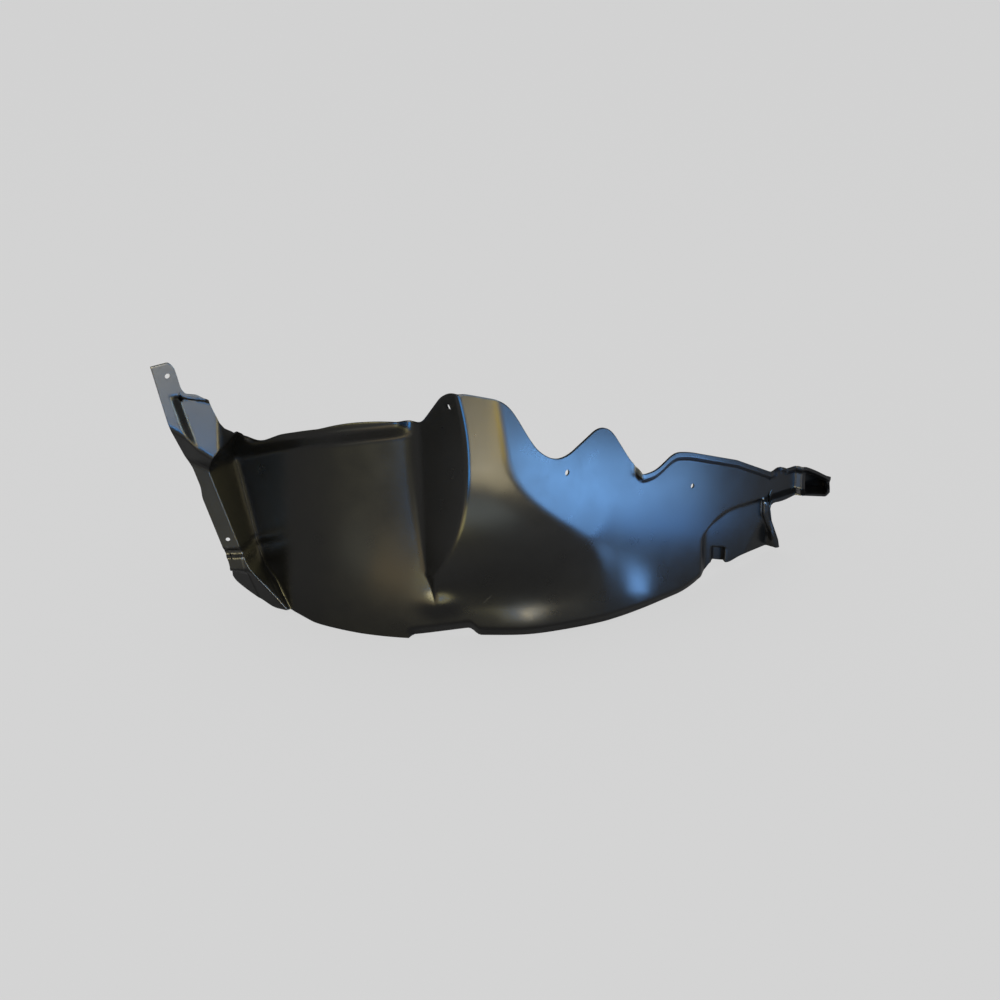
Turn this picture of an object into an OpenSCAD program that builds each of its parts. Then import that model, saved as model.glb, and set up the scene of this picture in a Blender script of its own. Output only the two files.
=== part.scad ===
// Wheel arch liner: one sheet of moulded plastic, standing on the edge that meets the wing.
// The wheel's axis is vertical here, +X runs along the vehicle and -Y is the side that faces the body.

/* [Sheet] */
// Thickness of the moulded sheet
sheet_t = 2.5; // [1.5:0.1:4]
// Number of cells up the liner, from edge to edge
cells_up = 32; // [20:1:34]

/* [Arch over the wheel] */
// Radius of the arch round the wheel
arch_r = 317; // [290:1:360]
// Length of the flat at the arch's crown
crown_flat = 65; // [20:1:90]
// Angle at which the arch runs on straight at its tab end
tab_end_turn = 42; // [34:1:46]
// Angle at which the arch runs on straight as the flat panel
panel_turn = 45; // [40:1:48]
// Slope of the panel away from upright, as rise over run
panel_lean = 0.08; // [0:0.01:0.15]

/* [Ridge] */
// Furthest place of the ridge's crest along X
crest_x = -28; // [-40:1:-15]
// Height of the crest's furthest place
crest_z = 278; // [250:1:300]
// Radius of the crest's bow, seen square on
crest_bow_r = 400; // [330:5:600]
// Height of the ridge over the arch, at its crest
ridge_h = 106; // [60:1:125]
// Drop of the ridge's back for each mm towards the panel
ridge_fall = 0.4; // [0.3:0.01:0.5]
// Height at which the ridge starts to rise out of the arch
ridge_foot_z = 70; // [50:1:95]
// Height over which the ridge rises to its full depth
ridge_rise = 215; // [180:1:260]
// Angle of the ridge's steep flank
flank_angle = 56; // [45:1:62]
// Half width of the round on the crest
crest_round = 6; // [3:0.5:12]
// Half width of the hollow at the flank's foot
flank_hollow = 20; // [6:1:25]
// Half width of the round between the ridge and the panel, at the top
panel_round = 3.5; // [2.5:0.5:8]

/* [Left flange and tab] */
// Distance of the flange behind the arch's crown
flange_y = 62; // [45:1:75]
// Width of the flange
flange_w = 23; // [18:1:30]
// Lean of the flange, sideways for each mm up
flange_lean = 0.33; // [0.25:0.01:0.38]
// How much narrower the flange is at its waist, under the soffit
flange_waist = 3.5; // [0:0.5:5]
// Slope of the wall between the flange and the arch
flange_wall = 3.1; // [2.4:0.1:3.4]
// Height above which the flange widens towards the tab
flare_z = 210; // [204:1:216]
// How far the tab stands in front of the flange
tab_step = 38; // [30:1:42]
// Turn of the tab towards the panel's side
tab_turn = 22; // [15:1:26]
// Depth of the pocket beside the tab
tab_pocket = 8; // [4:0.5:12]
// Depth of the dimple across the flange
dimple = 4; // [1:0.5:5]

/* [Soffit] */
// Lowest place of the sloped face that runs under the tab and along the recess's top
soffit_z = 197; // [190:1:203]
// How far that face comes forward for each mm up
soffit_slope = 0.78; // [0.65:0.01:0.9]
// Height of the rim that it ends at, over the recess
top_rim = 18; // [12:1:22]

/* [Rims] */
// Height of the rim along the panel's top edge
arm_rim = 15; // [6:1:18]
// Width of that rim's flat lip
arm_lip = 6; // [5:1:10]
// Width of that rim's wall
arm_wall = 12; // [8:1:16]
// Width of the lip turned in along the lower edge
low_lip = 14; // [8:1:18]
// Turn of that lip, as run over rise
low_turn = 0.75; // [0.3:0.05:1]

/* [Lower right pocket] */
// Depth of the pocket behind the panel
pocket_d = 16; // [8:1:20]
// Left side of the pocket
pocket_x = 290; // [286:1:296]
// Right side of the pocket, where the outline steps up
pocket_end = 404; // [398:1:410]
// Height of the rounded rim on the pocket's right side
pocket_rim = 9; // [4:1:12]
// Lean of the pocket's right side, sideways for each mm down
pocket_lean = 0.4; // [0.3:0.02:0.46]

/* [Bracket at the arm's end] */
// Place of the bracket's left face
bracket_x = 430; // [426:1:431]
// Height of the bracket over the arm
bracket_h = 13; // [8:1:16]
// Depth of the bracket's open mouth
mouth_depth = 26; // [12:1:28]
// Width of the mouth
mouth_w = 29; // [20:1:31]

/* [Heights of the top edge] */
// Top of the tab
tab_top = 374; // [360:1:385]
// Top of the pocket beside the tab
tab_pocket_top = 327; // [318:1:332]
// Top edge at the left end of the recess
recess_low = 242; // [236:1:248]
// Top edge at the right end of the recess
recess_high = 309; // [300:1:320]
// Top of the ridge
ridge_top = 381; // [365:1:400]
// Bottom of the scoop beside the ridge
scoop_z = 255; // [240:1:265]
// Top of the panel's peak
peak_z = 280; // [270:1:300]
// Bottom of the notch between the peak and the arm
notch_z = 196; // [186:1:201]
// Top of the arm's shoulder
arm_z = 210; // [204:1:218]

/* [Screw holes] */
// Diameter of the hole in the tab
tab_hole_d = 7; // [4:0.5:9]
// Diameter of the hole in the ridge's flank
flank_hole_d = 9; // [4:0.5:11]
// Diameter of the panel's upper hole
panel_hole_d = 8; // [4:0.5:11]
// Diameter of the arm's hole
arm_hole_d = 7; // [4:0.5:9]
// Diameter of the hole in the flange
flange_hole_d = 6; // [4:0.5:8]

/* [Hidden] */

// Places that follow from the sizes above
crown_x = -37.5;
tab_u = -437;
line_u = -325;
wall_u = -300;
foot_u = -97;
arm_end = 486;
flange_x = line_u;
tab_end = flange_x - flange_w;
tab_right = flange_x - 28;
tab_x = flange_x - 75;
arc_end_x = crown_x + crown_flat / 2 + arch_r * sin(panel_turn);
ground = -7;
low_edge_bend = 68;
notch_x = 203;
rim_end_x = pocket_end - 12;
mouth_x = bracket_x + 19;
mouth_end = mouth_x + mouth_w;
round_fn = 48;

// Blends: a ramp is 0, then a parabola, then the line t; ease runs smoothly from 0 to 1
function ramp(t, w) = t <= -w ? 0 : t >= w ? t : pow(t + w, 2) / (4 * w);
function clip(t, low, high) = min(high, max(low, t));
function ease(t) = let (c = clip(t, 0, 1)) c * c * (3 - 2 * c);
function pulse(t, from, to, soft) = ease((t - from + soft) / soft) * ease((to - t + soft) / soft);
function further(a, b, w) = b + ramp(a - b, w);
function nearer(a, b, w) = b - ramp(b - a, w);
function sum(v) = v * [for (i = v) 1];

// Height of an edge at x: straight runs between knots [x, z, round], each corner a parabola
function slope(k, i) = (k[i + 1][1] - k[i][1]) / (k[i + 1][0] - k[i][0]);
function edge_at(k, x) = k[0][1] + slope(k, 0) * (x - k[0][0])
    + sum([for (i = [1 : len(k) - 2]) (slope(k, i) - slope(k, i - 1)) * ramp(x - k[i][0], k[i][2])]);

// The trimmed top edge, from the tab to the arm's end
top_edge = [
    [tab_u, tab_top - 3, 2], [-417, tab_top, 2], [-412, tab_top - 8, 1],
    [-407.5, tab_pocket_top + 11, 1], [-402, tab_pocket_top + 2.5, 3], [-386, tab_pocket_top - 1, 3],
    [-372, tab_pocket_top - 9, 3], [-359, tab_pocket_top - 27, 4], [-341, recess_low + 39.5, 5],
    [-308, recess_low + 18.5, 5], [-287, recess_low - 1.5, 5], [-277, recess_low, 4],
    [-262, recess_low + 19.5, 5], [-240, recess_low + 34, 12], [-188, recess_high - 10, 25],
    [-127, recess_high, 30], [-89, recess_high - 6, 8],
    [-62.5, ridge_top - 34, 12], [-43.5, ridge_top - 5, 14], [-22.5, ridge_top, 8], [22, ridge_top - 18, 10],
    [36, ridge_top - 47, 8], [51, scoop_z + 41, 12], [73, scoop_z + 8, 16], [98, scoop_z, 12],
    [142, peak_z, 8], [158, peak_z - 8, 8], [190, notch_z + 13, 10], [notch_x, notch_z, 6],
    [notch_x + 19, notch_z - 1, 8], [248, arm_z, 8], [268, arm_z - 7, 10], [pocket_end + 2, arm_z - 84, 12],
    [418, arm_z - 91, 6], [446, arm_z - 95, 5], [463, arm_z - 108, 6], [479, arm_z - 122, 5],
    [492, arm_z - 130, 3]];

// The lower edge, from the flange's foot to the arm's end; it stands on the runs at ground level
low_edge = [
    [-439, 46, 2], [-428, 36, 6], [-354, 2, 8], [-313, 4, 8], [-252, ground + 2, 10], [-168, ground, 8],
    [-114, ground, 2], [-109.5, ground + 1, 4], [foot_u, ground + 3.2, 2], [crest_x, ground + 5.4, 2],
    [5.5, ground + 12, 3], [13, ground + 1, 3], [270, ground + 1, 15], [296, 6, 6], [306, 16, 4], [316, 11, 6],
    [332, 4, 6], [353, 9, 8], [pocket_end, 1, 2], [pocket_end + 2.5, 67, 2], [pocket_end + 7, 74, 3],
    [421, 70, 6], [440, 72, 6], [480, 54, 3], [492, 62, 3]];

// The panel's lower right edge, over the pocket
panel_edge = [[272, 50, 3], [289, 62, 6], [304, 80, 10], [330, 91, 12], [420, 84, 10], [440, 80, 5]];

// Where the soffit starts, from the tab along the recess's top
soffit_edge = [
    [-420, soffit_z + 39, 2], [-398, soffit_z + 30, 4], [-367, soffit_z + 13, 6], [-344, soffit_z, 7],
    [-311, soffit_z + 16, 10], [-270, soffit_z + 38, 14], [-230, soffit_z + 55, 16], [-166, soffit_z + 73, 20],
    [-112, soffit_z + 84, 10], [-90, soffit_z + 88, 2]];

// Plan of the arch: a flat crown, an arc either side, and straight runs on from the arcs
function arch(x) =
    let (d = x - crown_x, a = max(abs(d) - crown_flat / 2, 0), turn = d > 0 ? panel_turn : tab_end_turn,
        reach = arch_r * sin(turn))
    arch_r - sqrt(arch_r * arch_r - pow(min(a, reach), 2)) + max(a - reach, 0) * tan(turn);

// The flat panel that takes over from the arch and the ridge
function panel(x, z) = arch_r * (1 - cos(panel_turn)) + (x - arc_end_x) * tan(panel_turn) + panel_lean * z;

// The ridge: a crest bowed in plan, a steep flank to its left and a long back to its right
function crest_line(z) = let (h = clip(crest_z - z, -150, 190)) crest_x - h * h / (2 * crest_bow_r);
function rise(z) = sin(90 * min(ramp((z - ridge_foot_z) / ridge_rise, 0.16), 1));
function ridge_back(x) = ramp(ridge_h - ridge_fall * (x - crest_x + 8), 20);
function ridge(x, z) =
    let (s = rise(z), crest = crest_line(z),
        back = ridge_back(x) * s, front = ridge_back(crest) * s + (x - crest) * tan(flank_angle))
    ramp(nearer(back, front, crest_round), flank_hollow * s + 0.01);

// The flange down the left side, and the steep wall between it and the arch
function flange_shift(z) = 0.085 * ramp(z - flare_z - 20, 8) - flange_lean * ramp(z - 72, 10);
function flange_line(z) =
    flange_x + flange_shift(z) + 0.8 * ramp(low_edge_bend - z, 12) + 0.65 * ramp(z - flare_z, 5);
function wall_slope(z) = flange_wall - 1.5 * ease((low_edge_bend - 2 - z) / 30);
function flange_plan(x) = flange_y + 0.06 * (x + 340);
function flange(x, z) =
    flange_plan(x)
    + 0.7 * ramp(flange_line(z) - x, 4) * ease((low_edge_bend - 2 - z) / 12)
    + dimple * pulse(z, 88, 92, 6);
function left_side(x, z) =
    let (f = flange(x, z)) further(f, f + (x - flange_line(z)) * wall_slope(z), 4);

// The tab with the pocket beside it: how far back it lies
function tab_line(z) = -393 - 0.3 * (z - 262);
function tab_pocket_at(x, z) =
    ease((x - tab_line(z) + 1) / 12) * ease((tab_pocket_top - 0.3 * (x - tab_x) - z) / 6);
function tab(x, z) =
    flange_plan(tab_x) - tab_step + (x - tab_x) * tan(tab_turn) + 0.1 * (z - 265)
    + tab_pocket * tab_pocket_at(x, z) + 1.2 * ramp(x - tab_right, 5);

// The soffit: how far it comes forward, up to the tab or to the rim over the recess
function soffit(x, z, base, main) =
    let (fade = 1 - ease((x + 122) / 34), front = nearer(main - top_rim * fade, tab(x, z), 6))
    fade * nearer(soffit_slope * ramp(z - edge_at(soffit_edge, x), 4), ramp(base - front, 2), 5);

// The pocket behind the panel, with its turned facet, rounded right side and the seat for a clip
function pocket(x, z, u, low) =
    let (inside = ease((x - pocket_x) / 7) * ease((edge_at(panel_edge, x) - z) / 9),
        floor_fall = 0.15 * (ramp(x - pocket_x - 10, 5) - ramp(x - rim_end_x, 5)),
        facet = 0.35 * ramp(x - pocket_x - 62 - 0.6 * ramp(z, 3), 4) * (1 - ease((x - rim_end_x + 4) / 12)),
        side_rim = pocket_rim * ease((u - rim_end_x) / 6),
        clip_seat = 9 * pulse(x, pocket_x + 19, pocket_x + 35, 3) * ease((low + 24 - z) / 5))
    inside * (pocket_d - floor_fall + facet - side_rim + clip_seat);

// The bracket that ends the arm: a raised box, open towards the viewer and sloped along its top
function bracket(x, z, low, top) =
    bracket_h * ease((x - bracket_x) / 12)
    + 12 * ease((x - bracket_x + 22) / 10) * ease((z - top + 15) / 13)
    - mouth_depth * pulse(x, mouth_x, mouth_end, 3)
        * ease((top - 13 - z) / 4) * ease((z - low - 3) / 3);

// The sheet's outer face: how far back it lies at x and z; u is the station it belongs to
function lip_at(x) = low_lip - 6 * ease((x - 150) / 130);
function depth(x, z, u) =
    let (top = edge_at(top_edge, u), low = edge_at(low_edge, u),
        main = further(arch(x) - ridge(x, z), panel(x, z), panel_round + 16 * ease((x - 95) / 60)),
        base = nearer(main, left_side(x, z), 6),
        panel_rim = arm_rim * pulse(x, notch_x + 1, rim_end_x, 14)
            * ease((z - top + arm_lip + arm_wall) / arm_wall),
        low_turn_in = ease((x + 108) / 6) * (1 - ease((x - pocket_x + 2) / 10))
            * low_turn * ramp(low + lip_at(x) - z, 3))
    base - soffit(x, z, base, main) - panel_rim + pocket(x, z, u, low) - bracket(x, z, low, top) + low_turn_in;

// Guide lines up the sheet, as [station, x]: each follows a fold of the form
function wall_foot(z) =
    let (x = flange_line(z), back = arch(x) - flange(x, z))
    max(x + back / (wall_slope(z) + tan(tab_end_turn)), x + 8);
function flank_foot(z) = let (x = crest_line(z)) x - max(ridge_back(x) * rise(z) / tan(flank_angle), 15);
function guides(z) =
    let (side = pocket_end - 15 + pocket_lean * ramp(60 - z, 5))
    [[tab_u, tab_end + flange_shift(z) + flange_waist * pulse(z, 190, 212, 22)], [line_u, flange_line(z)],
        [wall_u, wall_foot(z)], [-225, -225], [-150, -150], [foot_u, flank_foot(z)], [crest_x, crest_line(z)],
        [crest_x + 110, crest_x + 110], [340, 340], [pocket_end, side], [pocket_end + 6, side + 6],
        [440, 440], [500, 500]];
function between(g, u, i) =
    i < len(g) - 2 && u > g[i + 1][0] ? between(g, u, i + 1)
    : g[i][1] + (g[i + 1][1] - g[i][1]) * (u - g[i][0]) / (g[i + 1][0] - g[i][0]);
function sheet_x(u, z) = between(guides(z), u, 0);
function outer_point(u, z) = let (x = sheet_x(u, z)) [x, depth(x, z, u), z];

// Unit direction from the outer face into the sheet
function inward(u, z) =
    let (x = sheet_x(u, z), e = 1.5,
        gx = (depth(x + e, z, u + e) - depth(x - e, z, u - e)) / (2 * e),
        gz = (depth(x, z + e, u) - depth(x, z - e, u)) / (2 * e))
    [-gx, 1, -gz] / norm([gx, 1, gz]);

// Stations: runs [from, to, cells], close together where the form turns quickly
runs = [
    [tab_u, -412, 3], [-412, -399, 3], [-399, -346, 6], [-346, line_u, 2], [line_u, wall_u, 4],
    [wall_u, -225, 5], [-225, foot_u, 6], [foot_u, crest_x, 8], [crest_x, 20, 5], [20, 82, 6],
    [82, 150, 7], [150, pocket_x, 10], [pocket_x, 312, 4], [312, pocket_end, 8],
    [pocket_end, pocket_end + 3, 1], [pocket_end + 3, mouth_x - 3, 4], [mouth_x - 3, mouth_x, 1],
    [mouth_x, mouth_end, 3], [mouth_end, mouth_end + 3, 1], [mouth_end + 3, arm_end, 1]];
stations = concat([for (r = runs) for (i = [0 : r[2] - 1]) r[0] + (r[1] - r[0]) * i / r[2]], [arm_end]);

// Heights up a station: close together at the two edges
low_rows = 4;
top_rows = 7;
function height_at(j, low, top) =
    let (b = min(18, 0.2 * (top - low)), t = min(32, 0.35 * (top - low)), mid = cells_up - low_rows - top_rows)
    j < low_rows ? low + b * j / low_rows
    : j < low_rows + mid ? low + b + (top - low - b - t) * (j - low_rows) / mid
    : top - t + t * (j - low_rows - mid) / top_rows;
spots = [for (u = stations) for (j = [0 : cells_up])
    [u, height_at(j, edge_at(low_edge, u), edge_at(top_edge, u))]];

// The sheet: its outer face, its inner face one thickness behind, and the trimmed edge between them
outer = [for (s = spots) outer_point(s[0], s[1])];
inner = [for (i = [0 : len(spots) - 1]) outer[i] + sheet_t * inward(spots[i][0], spots[i][1])];
cells_along = len(stations) - 1;
step_u = cells_up + 1;
behind = len(spots);

function cell(a, b, c, d) = [[a, b, c], [a, c, d]];
outer_faces = [for (i = [0 : cells_along - 1]) for (j = [0 : cells_up - 1])
    let (a = i * step_u + j) each cell(a, a + 1, a + step_u + 1, a + step_u)];
inner_faces = [for (f = outer_faces) [f[2] + behind, f[1] + behind, f[0] + behind]];
function edge_cell(a, b) = cell(a, b, b + behind, a + behind);
edge_faces = concat(
    [for (i = [0 : cells_along - 1]) let (a = i * step_u) each edge_cell(a, a + step_u)],
    [for (i = [0 : cells_along - 1]) let (a = i * step_u + cells_up) each edge_cell(a + step_u, a)],
    [for (j = [0 : cells_up - 1]) each edge_cell(j + 1, j)],
    [for (j = [0 : cells_up - 1]) let (a = cells_along * step_u + j) each edge_cell(a, a + 1)]);

// The part's origin: under the middle of its box, on the ground
points = concat(outer, inner);
xs = [for (p = points) p[0]];
ys = [for (p = points) p[1]];
zs = [for (p = points) p[2]];
origin = [(min(xs) + max(xs)) / 2, (min(ys) + max(ys)) / 2, min(zs)];

// Screw holes as [station, height, diameter], each square to the sheet
holes = [
    [-421, tab_top - 18, tab_hole_d], [-44, ridge_top - 27, flank_hole_d], [100, scoop_z - 20, panel_hole_d],
    [275, arm_z - 64, arm_hole_d], [-383, 110, flange_hole_d]];
hole_reach = 12;

// Turns +Z onto a direction
module point_along(d) {
    rotate([0, acos(d[2] / norm(d)), atan2(d[1], d[0])]) children();
}

module screw_hole(h) {
    axis = inward(h[0], h[1]);
    translate(outer_point(h[0], h[1]) + sheet_t / 2 * axis)
        point_along(axis)
            cylinder(d = h[2], h = 2 * hole_reach, center = true, $fn = round_fn);
}

module sheet() {
    polyhedron(points = points, faces = concat(outer_faces, inner_faces, edge_faces), convexity = 8);
}

module liner() {
    color([0.05, 0.05, 0.055])
        translate(-origin)
            difference() {
                sheet();
                for (h = holes) screw_hole(h);
            }
}

liner();
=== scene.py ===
import math

import bpy
import numpy as np
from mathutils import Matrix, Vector


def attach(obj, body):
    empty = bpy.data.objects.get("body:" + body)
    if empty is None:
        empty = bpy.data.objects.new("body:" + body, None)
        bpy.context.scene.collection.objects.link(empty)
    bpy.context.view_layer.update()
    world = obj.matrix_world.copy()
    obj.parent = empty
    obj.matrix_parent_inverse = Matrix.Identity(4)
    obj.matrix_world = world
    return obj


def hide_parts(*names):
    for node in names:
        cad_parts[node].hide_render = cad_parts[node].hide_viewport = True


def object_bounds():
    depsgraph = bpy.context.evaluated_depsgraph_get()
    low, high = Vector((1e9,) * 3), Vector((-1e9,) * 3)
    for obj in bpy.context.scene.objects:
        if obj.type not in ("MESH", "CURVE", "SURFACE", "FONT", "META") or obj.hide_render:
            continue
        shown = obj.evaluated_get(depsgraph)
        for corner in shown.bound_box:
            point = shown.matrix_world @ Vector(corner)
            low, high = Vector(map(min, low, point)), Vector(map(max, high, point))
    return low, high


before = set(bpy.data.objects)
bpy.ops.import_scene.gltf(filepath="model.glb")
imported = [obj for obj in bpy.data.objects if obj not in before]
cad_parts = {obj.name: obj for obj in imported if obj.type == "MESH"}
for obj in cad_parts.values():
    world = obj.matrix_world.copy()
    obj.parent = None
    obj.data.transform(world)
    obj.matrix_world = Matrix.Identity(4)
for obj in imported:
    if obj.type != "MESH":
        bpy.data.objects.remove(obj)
cad_low, cad_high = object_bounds()
bpy.ops.object.select_all(action="DESELECT")


# The camera stands a little above the liner and looks at the side that faces the body,
# from far enough away for the arch and the arm to keep their true proportions.
camera_target = Vector((-0.01219, -0.13339, 0.2005))
camera_distance = 3.611
camera_fall = math.radians(23)
camera_way = Vector((0, -math.cos(camera_fall), math.sin(camera_fall)))
bpy.ops.object.camera_add(
    location=camera_target + camera_distance * camera_way,
    rotation=(math.pi / 2 - camera_fall, 0, 0))
camera = bpy.context.object
camera.data.lens = 100
camera.data.sensor_width = 36
bpy.context.scene.camera = camera


# The floor: a plain pale sheet of paper that the liner stands on. The camera sees it evenly lit, the
# plastic's gloss sees only a tenth of that light, and it still takes the liner's soft shadow.
floor_size = 60
floor_tone, paper_tone = 0.99, 0.22
floor_shadow_share, floor_in_gloss = 0.4, 0.1

def grey(tone):
    return (tone, tone, tone, 1)

bpy.ops.mesh.primitive_plane_add(size=floor_size, location=(0, 0, 0))
floor = bpy.context.object
floor.name = "floor"
floor_finish = bpy.data.materials.new("pale_floor")
floor_finish.use_nodes = True
nodes, links = floor_finish.node_tree.nodes, floor_finish.node_tree.links
nodes.clear()
paper = nodes.new("ShaderNodeBsdfDiffuse")
paper.inputs["Color"].default_value = grey(paper_tone)
glow = nodes.new("ShaderNodeEmission")
glow.inputs["Color"].default_value = grey(floor_tone)
share = nodes.new("ShaderNodeMixShader")
share.inputs["Fac"].default_value = 1 - floor_shadow_share
seen = nodes.new("ShaderNodeMixShader")
path = nodes.new("ShaderNodeLightPath")
in_gloss = nodes.new("ShaderNodeMath")
in_gloss.operation = "MULTIPLY"
in_gloss.inputs[1].default_value = floor_in_gloss
through = nodes.new("ShaderNodeMath")
through.operation = "MAXIMUM"
direct = nodes.new("ShaderNodeMath")
direct.operation = "MAXIMUM"
out = nodes.new("ShaderNodeOutputMaterial")
links.new(paper.outputs["BSDF"], share.inputs[1])
links.new(glow.outputs["Emission"], share.inputs[2])
links.new(path.outputs["Is Glossy Ray"], in_gloss.inputs[0])
links.new(path.outputs["Is Transmission Ray"], through.inputs[0])
links.new(in_gloss.outputs["Value"], through.inputs[1])
links.new(path.outputs["Is Camera Ray"], direct.inputs[0])
links.new(through.outputs["Value"], direct.inputs[1])
links.new(direct.outputs["Value"], seen.inputs["Fac"])
links.new(paper.outputs["BSDF"], seen.inputs[1])
links.new(share.outputs["Shader"], seen.inputs[2])
links.new(seen.outputs["Shader"], out.inputs["Surface"])
floor.data.materials.append(floor_finish)


# The room: soft even light from all round, of which the gloss sees very little, and the floor's own
# tone behind the floor's far edge.
room_light, room_in_gloss, far_tone = 0.55, 0.02, 0.665
world = bpy.data.worlds.new("studio")
bpy.context.scene.world = world
world.use_nodes = True
nodes, links = world.node_tree.nodes, world.node_tree.links
nodes.clear()
path = nodes.new("ShaderNodeLightPath")
direct = nodes.new("ShaderNodeMath")
direct.operation = "MAXIMUM"
gloss = nodes.new("ShaderNodeMix")
gloss.data_type = "RGBA"
gloss.inputs["A"].default_value = grey(room_light)
gloss.inputs["B"].default_value = grey(room_in_gloss)
tone = nodes.new("ShaderNodeMix")
tone.data_type = "RGBA"
tone.inputs["B"].default_value = grey(far_tone)
sky = nodes.new("ShaderNodeBackground")
out = nodes.new("ShaderNodeOutputWorld")
links.new(path.outputs["Is Glossy Ray"], gloss.inputs["Factor"])
links.new(path.outputs["Is Camera Ray"], direct.inputs[0])
links.new(path.outputs["Is Transmission Ray"], direct.inputs[1])
links.new(direct.outputs["Value"], tone.inputs["Factor"])
links.new(gloss.outputs["Result"], tone.inputs["A"])
links.new(tone.outputs["Result"], sky.inputs["Color"])
links.new(sky.outputs["Background"], out.inputs["Surface"])


# The lamps: a soft one overhead lights the liner and gives its shadow. The others show only in the
# plastic's gloss, as the warm and cool things round the real part do: low panels in front, low panels
# beyond the arm's end, and cards of light that lie on the floor and face up.
liner_middle, liner_foot, liner_low_front = (0, -0.13, 0.1), (0.08, -0.17, 0.07), (0.08, -0.19, 0.07)

def panel_lamp(name, place, aim, width, height, radiance, gloss_only=True):
    turned = (Vector(aim) - Vector(place)).to_track_quat("-Z", "Y").to_euler()
    bpy.ops.object.light_add(type="AREA", location=place, rotation=turned)
    lamp = bpy.context.object
    lamp.name = name
    lamp.data.shape = "RECTANGLE"
    lamp.data.size = width
    lamp.data.size_y = height
    level = max(radiance)
    lamp.data.energy = level * math.pi * width * height
    lamp.data.color = [c / level for c in radiance]
    lamp.visible_camera = False
    lamp.visible_diffuse = not gloss_only

panel_lamp("soft_top", (-0.3, -0.6, 2.6), (0, 0, 0.1), 2.2, 2.2, (1.1, 1.1, 1.1), gloss_only=False)

front_distance, front_height, front_tall = 2.59, 0.327, 0.42
for degrees, width, radiance in [
        (120, 1.0, (6.0, 11.0, 16.0)), (145, 1.0, (4.5, 6.5, 10.0)), (162, 0.5, (44.0, 38.0, 25.0)),
        (195, 1.0, (18.7, 16.6, 10.2)), (220, 1.0, (11.5, 10.3, 5.0))]:
    turn = math.radians(degrees)
    place = (front_distance * math.sin(turn), front_distance * math.cos(turn) + liner_middle[1], front_height)
    panel_lamp(f"front_{degrees}", place, liner_middle, width, front_tall, radiance)

panel_lamp("cool_side", (0.58, -0.22, 0.05), liner_foot, 0.3, 0.1, (1.0, 2.7, 5.6))
panel_lamp("cool_side_back", (0.62, -0.10, 0.05), liner_foot, 0.3, 0.1, (1.6, 3.6, 7.2))
panel_lamp("warm_side", (0.71, -0.65, 0.08), liner_low_front, 0.4, 0.14, (9.0, 6.0, 0.1))

# Each card has a place, a width and a length; it is aimed a hair off upright, which settles its turn
card_lift, card_aim_off = 0.003, 0.001
for name, x, y, width, length, radiance in [
        ("card_tab", -0.025, -0.80, 0.35, 0.4, (0.5, 4.4, 11.5)),
        ("card_flange", -0.375, -0.32, 0.15, 0.12, (0.5, 0.5, 0.4)),
        ("card_ridge", 0.44, -0.70, 0.25, 0.2, (8.5, 7.6, 5.4)),
        ("card_cool_near", 0.525, -0.06, 0.15, 0.22, (0.51, 1.6, 4.1)),
        ("card_cool_far", 0.975, -0.215, 0.15, 0.09, (6.0, 15.0, 30.0)),
        ("card_warm", 0.30, -0.49, 0.2, 0.22, (5.5, 4.7, 2.8)),
        ("card_left", -0.225, -0.32, 0.15, 0.12, (1.2, 0.9, 0.45)),
        ("card_middle", -0.075, -0.32, 0.15, 0.12, (2.75, 2.4, 0.95)),
        ("card_right", 0.075, -0.32, 0.15, 0.12, (0.8, 0.9, 0.85)),
        ("card_cool_foot", 0.285, -0.058, 0.09, 0.03, (2.2, 5.2, 11.0))]:
    panel_lamp(name, (x, y, card_lift), (x, y + card_aim_off, 1.0), width, length, radiance)


# The liner: one sheet of black plastic, moulded over a form and trimmed round its edge, with holes
# drilled for its screws. Its points are laid on the form's own profiles, and the sheet is then given
# its thickness, its eased edges and its holes. Sizes are in millimetres, -Y faces the body.
sheet_t = 2.5
origin = np.array([25.1912, 133.393, -7.0])

# Blends: a ramp is 0, then a parabola, then the line t; ease runs smoothly from 0 to 1
def ramp(t, w):
    return np.where(t < -w, 0, np.where(t > w, t, (t + w) ** 2 / (4 * w)))

def ease(t):
    t = np.clip(t, 0, 1)
    return t * t * (3 - 2 * t)

def further(a, b, w):
    return b + ramp(a - b, w)

def nearer(a, b, w):
    return b - ramp(b - a, w)

def pulse(t, low, high, soft):
    return ease((t - low + soft) / soft) * ease((high - t + soft) / soft)

# Height of an edge at x: straight runs between knots, each corner a parabola
def edge_at(knots, x):
    run = [(b[1] - a[1]) / (b[0] - a[0]) for a, b in zip(knots[:-1], knots[1:])]
    z = knots[0][1] + run[0] * (x - knots[0][0])
    for i in range(1, len(knots) - 1):
        z = z + (run[i] - run[i - 1]) * ramp(x - knots[i][0], knots[i][2])
    return z

# The trimmed edges, and the folds where the panel and the soffit end, as knots of x, height and round
top_edge = [
    [-437, 371, 2], [-417, 374, 2], [-412, 366, 1], [-407.5, 338, 1], [-402, 329.5, 3], [-386, 326, 3],
    [-372, 318, 3], [-359, 300, 4], [-341, 281.5, 5], [-308, 260.5, 5], [-287, 240.5, 5], [-277, 242, 4],
    [-262, 261.5, 5], [-240, 276, 12], [-188, 299, 25], [-127, 309, 30], [-89, 303, 8], [-62.5, 347, 12],
    [-43.5, 376, 14], [-22.5, 381, 8], [22, 363, 10], [36, 334, 8], [51, 296, 12], [73, 263, 16],
    [98, 255, 12], [142, 280, 8], [158, 272, 8], [190, 209, 10], [203, 196, 6], [222, 195, 8],
    [248, 210, 8], [268, 203, 10], [406, 126, 12], [418, 119, 6], [446, 115, 5], [463, 102, 6],
    [479, 88, 5], [492, 80, 3]]
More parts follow.
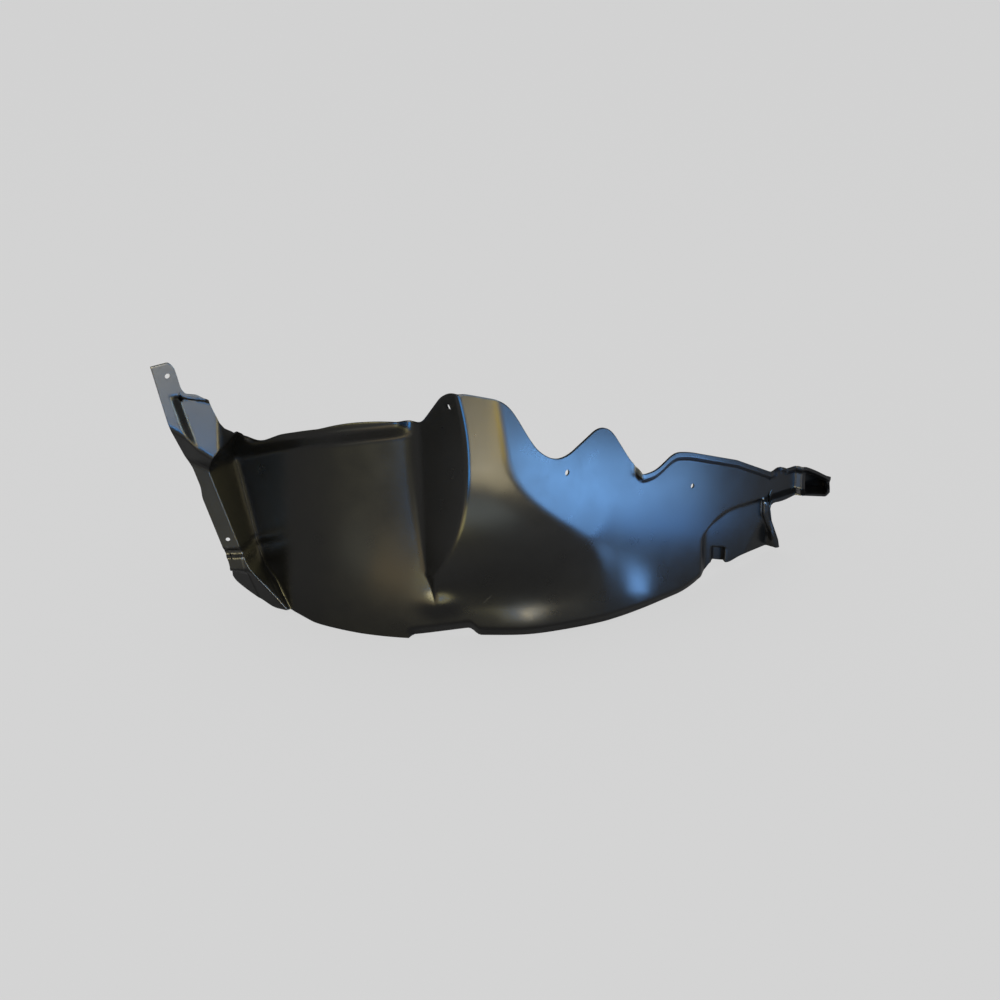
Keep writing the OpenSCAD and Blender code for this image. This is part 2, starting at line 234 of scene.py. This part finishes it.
low_edge = [
    [-439, 46, 2], [-428, 36, 6], [-354, 2, 8], [-313, 4, 8], [-252, -5, 10], [-168, -7, 8],
    [-114, -7, 2], [-109.5, -6, 4], [-97, -3.8, 2], [-28, -1.6, 2], [5.5, 5, 3], [13, -6, 3],
    [270, -6, 15], [296, 6, 6], [306, 16, 4], [316, 11, 6], [332, 4, 6], [353, 9, 8],
    [404, 1, 2], [406.5, 67, 2], [411, 74, 3], [421, 70, 6], [440, 72, 6], [480, 54, 3], [492, 62, 3]]
panel_edge = [[272, 50, 3], [289, 62, 6], [304, 80, 10], [330, 91, 12], [420, 84, 10], [440, 80, 5]]
soffit_edge = [
    [-420, 236, 2], [-398, 227, 4], [-367, 210, 6], [-344, 197, 7], [-311, 213, 10], [-270, 235, 14],
    [-230, 252, 16], [-166, 270, 20], [-112, 281, 10], [-90, 285, 2]]

# The arch over the wheel: a flat crown, an arc either side, and straight runs on from the arcs
arch_r, crown_flat, crown_x = 317.0, 65.0, -37.5
tab_end_turn, panel_turn = math.radians(42), math.radians(45)

def arch(x):
    d = x - crown_x
    a = np.maximum(np.abs(d) - crown_flat / 2, 0)
    turn = np.where(d > 0, panel_turn, tab_end_turn)
    reach = arch_r * np.sin(turn)
    return arch_r - np.sqrt(arch_r ** 2 - np.minimum(a, reach) ** 2) + np.maximum(a - reach, 0) * np.tan(turn)

# The flat panel that takes over from the arch and the ridge
panel_lean, panel_round, panel_foot_round = 0.08, 3.5, 16
arc_end_x = crown_x + crown_flat / 2 + arch_r * math.sin(panel_turn)

def panel(x, z):
    return arch_r * (1 - math.cos(panel_turn)) + (x - arc_end_x) * math.tan(panel_turn) + panel_lean * z

# The ridge: a bowed crest, a steep flank to its left and a long back to its right
crest_x, crest_z, crest_bow_r, crest_round = -28.0, 278.0, 400.0, 6.0
bow_above, bow_below = 150, 190
ridge_h, ridge_foot_z, ridge_rise, rise_round = 106.0, 70.0, 215.0, 0.16
ridge_fall, fall_start, fall_round = 0.40, 8, 20
flank_slope, flank_hollow, flank_least = math.tan(math.radians(56)), 20.0, 15

def crest_line(z):
    h = np.clip(crest_z - z, -bow_above, bow_below)
    return crest_x - h * h / (2 * crest_bow_r)

def rise(z):
    return np.sin(math.pi / 2 * np.minimum(ramp((z - ridge_foot_z) / ridge_rise, rise_round), 1))

def ridge_back(x):
    return ramp(ridge_h - ridge_fall * (x - crest_x + fall_start), fall_round)

def ridge(x, z):
    s, crest = rise(z), crest_line(z)
    front = ridge_back(crest) * s + (x - crest) * flank_slope
    return ramp(nearer(ridge_back(x) * s, front, crest_round), flank_hollow * s + 0.01)

# The flange down the left side, narrower at its waist, and the steep wall between it and the arch
flange_x, flange_y, flange_w, flange_waist = -325.0, 62.0, 23.0, 3.5
flange_turn, flange_lean, lean_start_z = 0.06, 0.33, 72
flange_foot_z, foot_turn, foot_fold = 66.0, 0.8, 0.7
flare_z, flare_turn, upper_turn = 210.0, 0.65, 0.085
flange_wall, foot_wall_less = 3.1, 1.5
dimple, dimple_low, dimple_high = 4.0, 88, 92

def flange_shift(z):
    return upper_turn * ramp(z - flare_z - 20, 8) - flange_lean * ramp(z - lean_start_z, 10)

def flange_line(z):
    at_foot = foot_turn * ramp(flange_foot_z + 2 - z, 12)
    return flange_x + flange_shift(z) + at_foot + flare_turn * ramp(z - flare_z, 5)

def wall_slope(z):
    return flange_wall - foot_wall_less * ease((flange_foot_z - z) / 30)

def flange(x, z):
    turned = foot_fold * ramp(flange_line(z) - x, 4) * ease((flange_foot_z - z) / 12)
    return flange_y + flange_turn * (x + 340) + turned + dimple * pulse(z, dimple_low, dimple_high, 6)

# The tab, with the pocket beside it
tab_x, tab_right, tab_foot_z = -400.0, -353.0, 265
tab_step, tab_turn, tab_lean = 38.0, math.tan(math.radians(22)), 0.1
tab_pocket, tab_pocket_top, tab_pocket_lean = 8.0, 327.0, 0.3

def tab(x, z):
    side = ease((x + 394 + tab_pocket_lean * (z - 262)) / 12)
    in_pocket = side * ease((tab_pocket_top - tab_pocket_lean * (x - tab_x) - z) / 6)
    plan = flange_y + flange_turn * (tab_x + 340) - tab_step + (x - tab_x) * tab_turn
    return plan + tab_lean * (z - tab_foot_z) + tab_pocket * in_pocket + 1.2 * ramp(x - tab_right, 5)

# The soffit: the sloped face under the tab and along the recess's top, up to the rim over the recess
soffit_slope, top_rim, soffit_end = 0.78, 18.0, -122

def soffit(x, z, base, main):
    fade = 1 - ease((x - soffit_end) / 34)
    front = nearer(main - top_rim * fade, tab(x, z), 6)
    return fade * nearer(soffit_slope * ramp(z - edge_at(soffit_edge, x), 4), ramp(base - front, 2), 5)

# The pocket behind the panel, with its turned facet, its rounded right side and the seat for a clip
pocket_d, pocket_x, pocket_end, pocket_rim, pocket_lean = 16.0, 290.0, 404.0, 9.0, 0.4
rim_end_x, pocket_fall, facet_turn = 392.0, 0.15, 0.35
clip_d, clip_from, clip_to, clip_top = 9, 19, 35, 24

def pocket(x, z, u, low):
    inside = ease((x - pocket_x) / 7) * ease((edge_at(panel_edge, x) - z) / 9)
    floor_fall = pocket_fall * (ramp(x - pocket_x - 10, 5) - ramp(x - rim_end_x, 5))
    beside_rim = 1 - ease((x - rim_end_x + 4) / 12)
    facet = facet_turn * ramp(x - pocket_x - 62 - 0.6 * ramp(z, 3), 4) * beside_rim
    side_rim = pocket_rim * ease((u - rim_end_x) / 6)
    along_clip = pulse(x, pocket_x + clip_from, pocket_x + clip_to, 3)
    clip_seat = clip_d * along_clip * ease((low + clip_top - z) / 5)
    return inside * (pocket_d - floor_fall + facet - side_rim + clip_seat)

# The bracket that ends the arm: a raised box, open towards the body and sloped along its top
bracket_x, bracket_h, bracket_top_h = 430.0, 13.0, 12
mouth_depth, mouth_x, mouth_end, mouth_wall, mouth_foot = 26.0, 449.0, 478.0, 13, 3

def bracket(x, z, low, top):
    across = pulse(x, mouth_x, mouth_end, 3)
    mouth = mouth_depth * across * ease((top - mouth_wall - z) / 4) * ease((z - low - mouth_foot) / 3)
    top_band = bracket_top_h * ease((x - bracket_x + 22) / 10) * ease((z - top + 15) / 13)
    return bracket_h * ease((x - bracket_x) / 12) + top_band - mouth

# Two gentle swells, at the ridge's toe and above the lower edge: place, spreads and height
swells = [(-66, 46, 16, 11, 7), (52, 12, 27, 17, 5.5)]

def swell(x, z):
    return sum(h * np.exp(-((x - x0) / wide) ** 2 / 2 - ((z - z0) / tall) ** 2 / 2)
               for x0, z0, wide, tall, h in swells)

# The rim along the panel's top edge, the lip turned in along the lower edge, and all of it together
arm_rim, arm_lip, arm_wall, notch_x = 15.0, 6.0, 12.0, 203.0
low_lip, low_lip_less, low_turn, low_turn_x = 14, 6, 0.75, -108

def depth(x, z, u):
    top, low = edge_at(top_edge, u), edge_at(low_edge, u)
    fold_round = panel_round + panel_foot_round * ease((x - 128) / 40)
    main = further(arch(x) - ridge(x, z) - swell(x, z), panel(x, z), fold_round)
    face = flange(x, z)
    base = nearer(main, further(face, face + (x - flange_line(z)) * wall_slope(z), 4), 6)
    along_panel = pulse(x, notch_x + 1, rim_end_x, 14)
    panel_rim = arm_rim * along_panel * ease((z - top + arm_lip + arm_wall) / arm_wall)
    lip = low_lip - low_lip_less * ease((x - 150) / 130)
    along_low = ease((x - low_turn_x) / 6) * (1 - ease((x - pocket_x + 2) / 10))
    turned_in = along_low * low_turn * ramp(low + lip - z, 3)
    return (base - soffit(x, z, base, main) - panel_rim + pocket(x, z, u, low) - bracket(x, z, low, top)
            + turned_in)

# Guide lines up the sheet, as station and x: each follows a fold of the form
flank_foot, line_u, wall_u, left_u, right_u = -97, -325, -300, -437, 500

def wall_foot(z):
    x = flange_line(z)
    return np.maximum(x + (arch(x) - flange(x, z)) / (wall_slope(z) + math.tan(tab_end_turn)), x + 8)

def guides(z):
    crest, still = crest_line(z), 0 * z
    side = pocket_end - 15 + pocket_lean * ramp(60 - z, 5)
    flank = crest - np.maximum(ridge_back(crest) * rise(z) / flank_slope, flank_least)
    return [
        (left_u, flange_x - flange_w + flange_shift(z) + flange_waist * pulse(z, 190, 212, 22)),
        (line_u, flange_line(z)), (wall_u, wall_foot(z)), (-225, -225 + still), (-150, -150 + still),
        (flank_foot, flank), (crest_x, crest), (82, 82 + still), (340, 340 + still),
        (pocket_end, side), (pocket_end + 6, side + 6), (440, 440 + still), (right_u, right_u + still)]

def sheet_x(u, z):
    lines = guides(z)
    x = lines[0][1] + (u - lines[0][0])
    for (u0, a), (u1, b) in zip(lines[:-1], lines[1:]):
        x = np.where(u >= u0, a + (b - a) * (u - u0) / (u1 - u0), x)
    return x

def outer_point(u, z):
    x = sheet_x(u, z)
    return np.stack([x, depth(x, z, u), z + 0 * x], axis=-1)

# The sheet starts as a flat grid; its stations, as place and cell, are closer where the form turns
cells_along, cells_up, edge_crowding = 380, 116, 0.05
station_share = [
    (-437, 0), (-412, 14), (-399, 25), (-325, 65), (-300, 80), (-225, 101), (-97, 138), (-28, 168),
    (20, 188), (150, 237), (290, 286), (312, 297), (404, 333), (407, 336), (446, 352), (486, 380)]
bpy.ops.mesh.primitive_grid_add(x_subdivisions=cells_along, y_subdivisions=cells_up, size=2)
sheet = bpy.context.object
sheet.name = "liner_sheet"
flat = np.empty(len(sheet.data.vertices) * 3)
sheet.data.vertices.foreach_get("co", flat)
flat = flat.reshape(-1, 3)
along = (flat[:, 0] + 1) / 2 * cells_along
up = (flat[:, 1] + 1) / 2
up = up - edge_crowding * np.sin(2 * math.pi * up)
u = np.interp(along, [s[1] for s in station_share], [s[0] for s in station_share])
low, top = edge_at(low_edge, u), edge_at(top_edge, u)
laid = (outer_point(u, low + (top - low) * up) - origin) / 1000
sheet.data.vertices.foreach_set("co", laid.ravel())
sheet.data.update()
bpy.ops.object.mode_set(mode="EDIT")
bpy.ops.mesh.select_all(action="SELECT")
bpy.ops.mesh.normals_make_consistent(inside=False)
bpy.ops.object.mode_set(mode="OBJECT")
middle = sheet.data.polygons[len(sheet.data.polygons) // 2]
if middle.normal.y > 0:
    sheet.data.flip_normals()

# Its thickness, its eased edges, and a margin that keeps it within the part's box
edge_ease, trimmed_angle, box_margin = 0.0006, math.radians(70), 0.0001
wall = sheet.modifiers.new("wall", "SOLIDIFY")
wall.thickness = sheet_t / 1000
wall.offset = -1
bpy.ops.object.modifier_apply(modifier=wall.name)
eased = sheet.modifiers.new("eased_edges", "BEVEL")
eased.width = edge_ease
eased.segments = 2
eased.limit_method = "ANGLE"
eased.angle_limit = trimmed_angle
bpy.ops.object.modifier_apply(modifier=eased.name)
flat = np.empty(len(sheet.data.vertices) * 3)
sheet.data.vertices.foreach_get("co", flat)
within = np.clip(flat.reshape(-1, 3), np.array(cad_low) + box_margin, np.array(cad_high) - box_margin)
sheet.data.vertices.foreach_set("co", within.ravel())
sheet.data.update()

# The screw holes, as station, height and diameter, drilled square to the sheet
screw_holes = [(-421, 356, 7), (-44, 354, 9), (100, 235, 8), (275, 146, 7), (-383, 110, 6)]
drill_sides, drill_length, slope_step = 40, 0.016, 1.5
for station, height, diameter in screw_holes:
    here = outer_point(np.array([station * 1.0]), np.array([height * 1.0]))[0]
    x, z, e = here[0], here[2], slope_step
    along_x = depth(x + e, z, station + e) - depth(x - e, z, station - e)
    along_z = depth(x, z + e, station) - depth(x, z - e, station)
    axis = Vector((-float(along_x) / (2 * e), 1, -float(along_z) / (2 * e))).normalized()
    bpy.ops.object.select_all(action="DESELECT")
    bpy.ops.mesh.primitive_cylinder_add(
        vertices=drill_sides, radius=diameter / 2000, depth=drill_length,
        location=Vector((here - origin) / 1000) + axis * sheet_t / 2000,
        rotation=axis.to_track_quat("Z", "Y").to_euler())
    drill = bpy.context.object
    bpy.context.view_layer.objects.active = sheet
    hole = sheet.modifiers.new("hole", "BOOLEAN")
    hole.operation = "DIFFERENCE"
    hole.solver = "EXACT"
    hole.object = drill
    bpy.ops.object.modifier_apply(modifier=hole.name)
    bpy.data.objects.remove(drill)

bpy.ops.object.select_all(action="DESELECT")
sheet.select_set(True)
bpy.context.view_layer.objects.active = sheet
bpy.ops.object.shade_smooth_by_angle(angle=math.radians(40))

# Black plastic with a satin face and the mould's fine grain
black_plastic = bpy.data.materials.new("black_moulded_plastic")
black_plastic.use_nodes = True
nodes, links = black_plastic.node_tree.nodes, black_plastic.node_tree.links
plastic = nodes["Principled BSDF"]
plastic.inputs["Base Color"].default_value = (0.0065, 0.0062, 0.0054, 1)
plastic.inputs["IOR"].default_value = 1.52
plastic.inputs["Specular IOR Level"].default_value = 0.7
place = nodes.new("ShaderNodeTexCoord")
grain = nodes.new("ShaderNodeTexNoise")
grain.inputs["Scale"].default_value = 1100
grain.inputs["Detail"].default_value = 2
lift = nodes.new("ShaderNodeBump")
lift.inputs["Strength"].default_value = 0.12
lift.inputs["Distance"].default_value = 0.0002
links.new(place.outputs["Object"], grain.inputs["Vector"])
links.new(grain.outputs["Fac"], lift.inputs["Height"])
links.new(lift.outputs["Normal"], plastic.inputs["Normal"])

# Patches where the mould left the surface a little shinier or duller
shiny, dull = 0.27, 0.32
patches = nodes.new("ShaderNodeTexNoise")
patches.inputs["Scale"].default_value = 26
patches.inputs["Detail"].default_value = 4
sheen = nodes.new("ShaderNodeMapRange")
sheen.inputs["From Min"].default_value = 0.3
sheen.inputs["From Max"].default_value = 0.7
sheen.inputs["To Min"].default_value = shiny
sheen.inputs["To Max"].default_value = dull
links.new(place.outputs["Object"], patches.inputs["Vector"])
links.new(patches.outputs["Fac"], sheen.inputs["Value"])

# One faint scratch low on the liner's front, beside the cut in its lower edge, in metres
scratch_middle, scratch_way = Vector((-0.0287, 0, 0.0587)), Vector((0.67, 0, 0.742))
scratch_across = Vector((-scratch_way.z, 0, scratch_way.x))
scratch_half, scratch_wide, scratch_front = 0.0095, 0.0007, -0.1332
scratch_core, scratch_dullness = 0.35, 0.75
from_middle = nodes.new("ShaderNodeVectorMath")
from_middle.operation = "SUBTRACT"
from_middle.inputs[1].default_value = scratch_middle
links.new(place.outputs["Object"], from_middle.inputs[0])
inside = []
for way, half in [(scratch_way, scratch_half), (scratch_across, scratch_wide)]:
    along_way = nodes.new("ShaderNodeVectorMath")
    along_way.operation = "DOT_PRODUCT"
    along_way.inputs[1].default_value = way
    off = nodes.new("ShaderNodeMath")
    off.operation = "ABSOLUTE"
    fade = nodes.new("ShaderNodeMapRange")
    fade.inputs["From Min"].default_value = scratch_core * half
    fade.inputs["From Max"].default_value = half
    fade.inputs["To Min"].default_value = 1
    fade.inputs["To Max"].default_value = 0
    links.new(from_middle.outputs["Vector"], along_way.inputs[0])
    links.new(along_way.outputs["Value"], off.inputs[0])
    links.new(off.outputs["Value"], fade.inputs["Value"])
    inside.append(fade)
parts = nodes.new("ShaderNodeSeparateXYZ")
links.new(place.outputs["Object"], parts.inputs["Vector"])
front = nodes.new("ShaderNodeMath")
front.operation = "LESS_THAN"
front.inputs[1].default_value = scratch_front
links.new(parts.outputs["Y"], front.inputs[0])
streak = nodes.new("ShaderNodeMath")
streak.operation = "MULTIPLY"
links.new(inside[0].outputs["Result"], streak.inputs[0])
links.new(inside[1].outputs["Result"], streak.inputs[1])
scratch = nodes.new("ShaderNodeMath")
scratch.operation = "MULTIPLY"
links.new(streak.outputs["Value"], scratch.inputs[0])
links.new(front.outputs["Value"], scratch.inputs[1])
dulled = nodes.new("ShaderNodeMix")
dulled.data_type = "FLOAT"
dulled.inputs["B"].default_value = scratch_dullness
links.new(scratch.outputs["Value"], dulled.inputs["Factor"])
links.new(sheen.outputs["Result"], dulled.inputs["A"])
links.new(dulled.outputs["Result"], plastic.inputs["Roughness"])
sheet.data.materials.clear()
sheet.data.materials.append(black_plastic)
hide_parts("liner")
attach(sheet, "root")


# The picture keeps the plain view transform.
bpy.context.scene.view_settings.view_transform = "Standard"
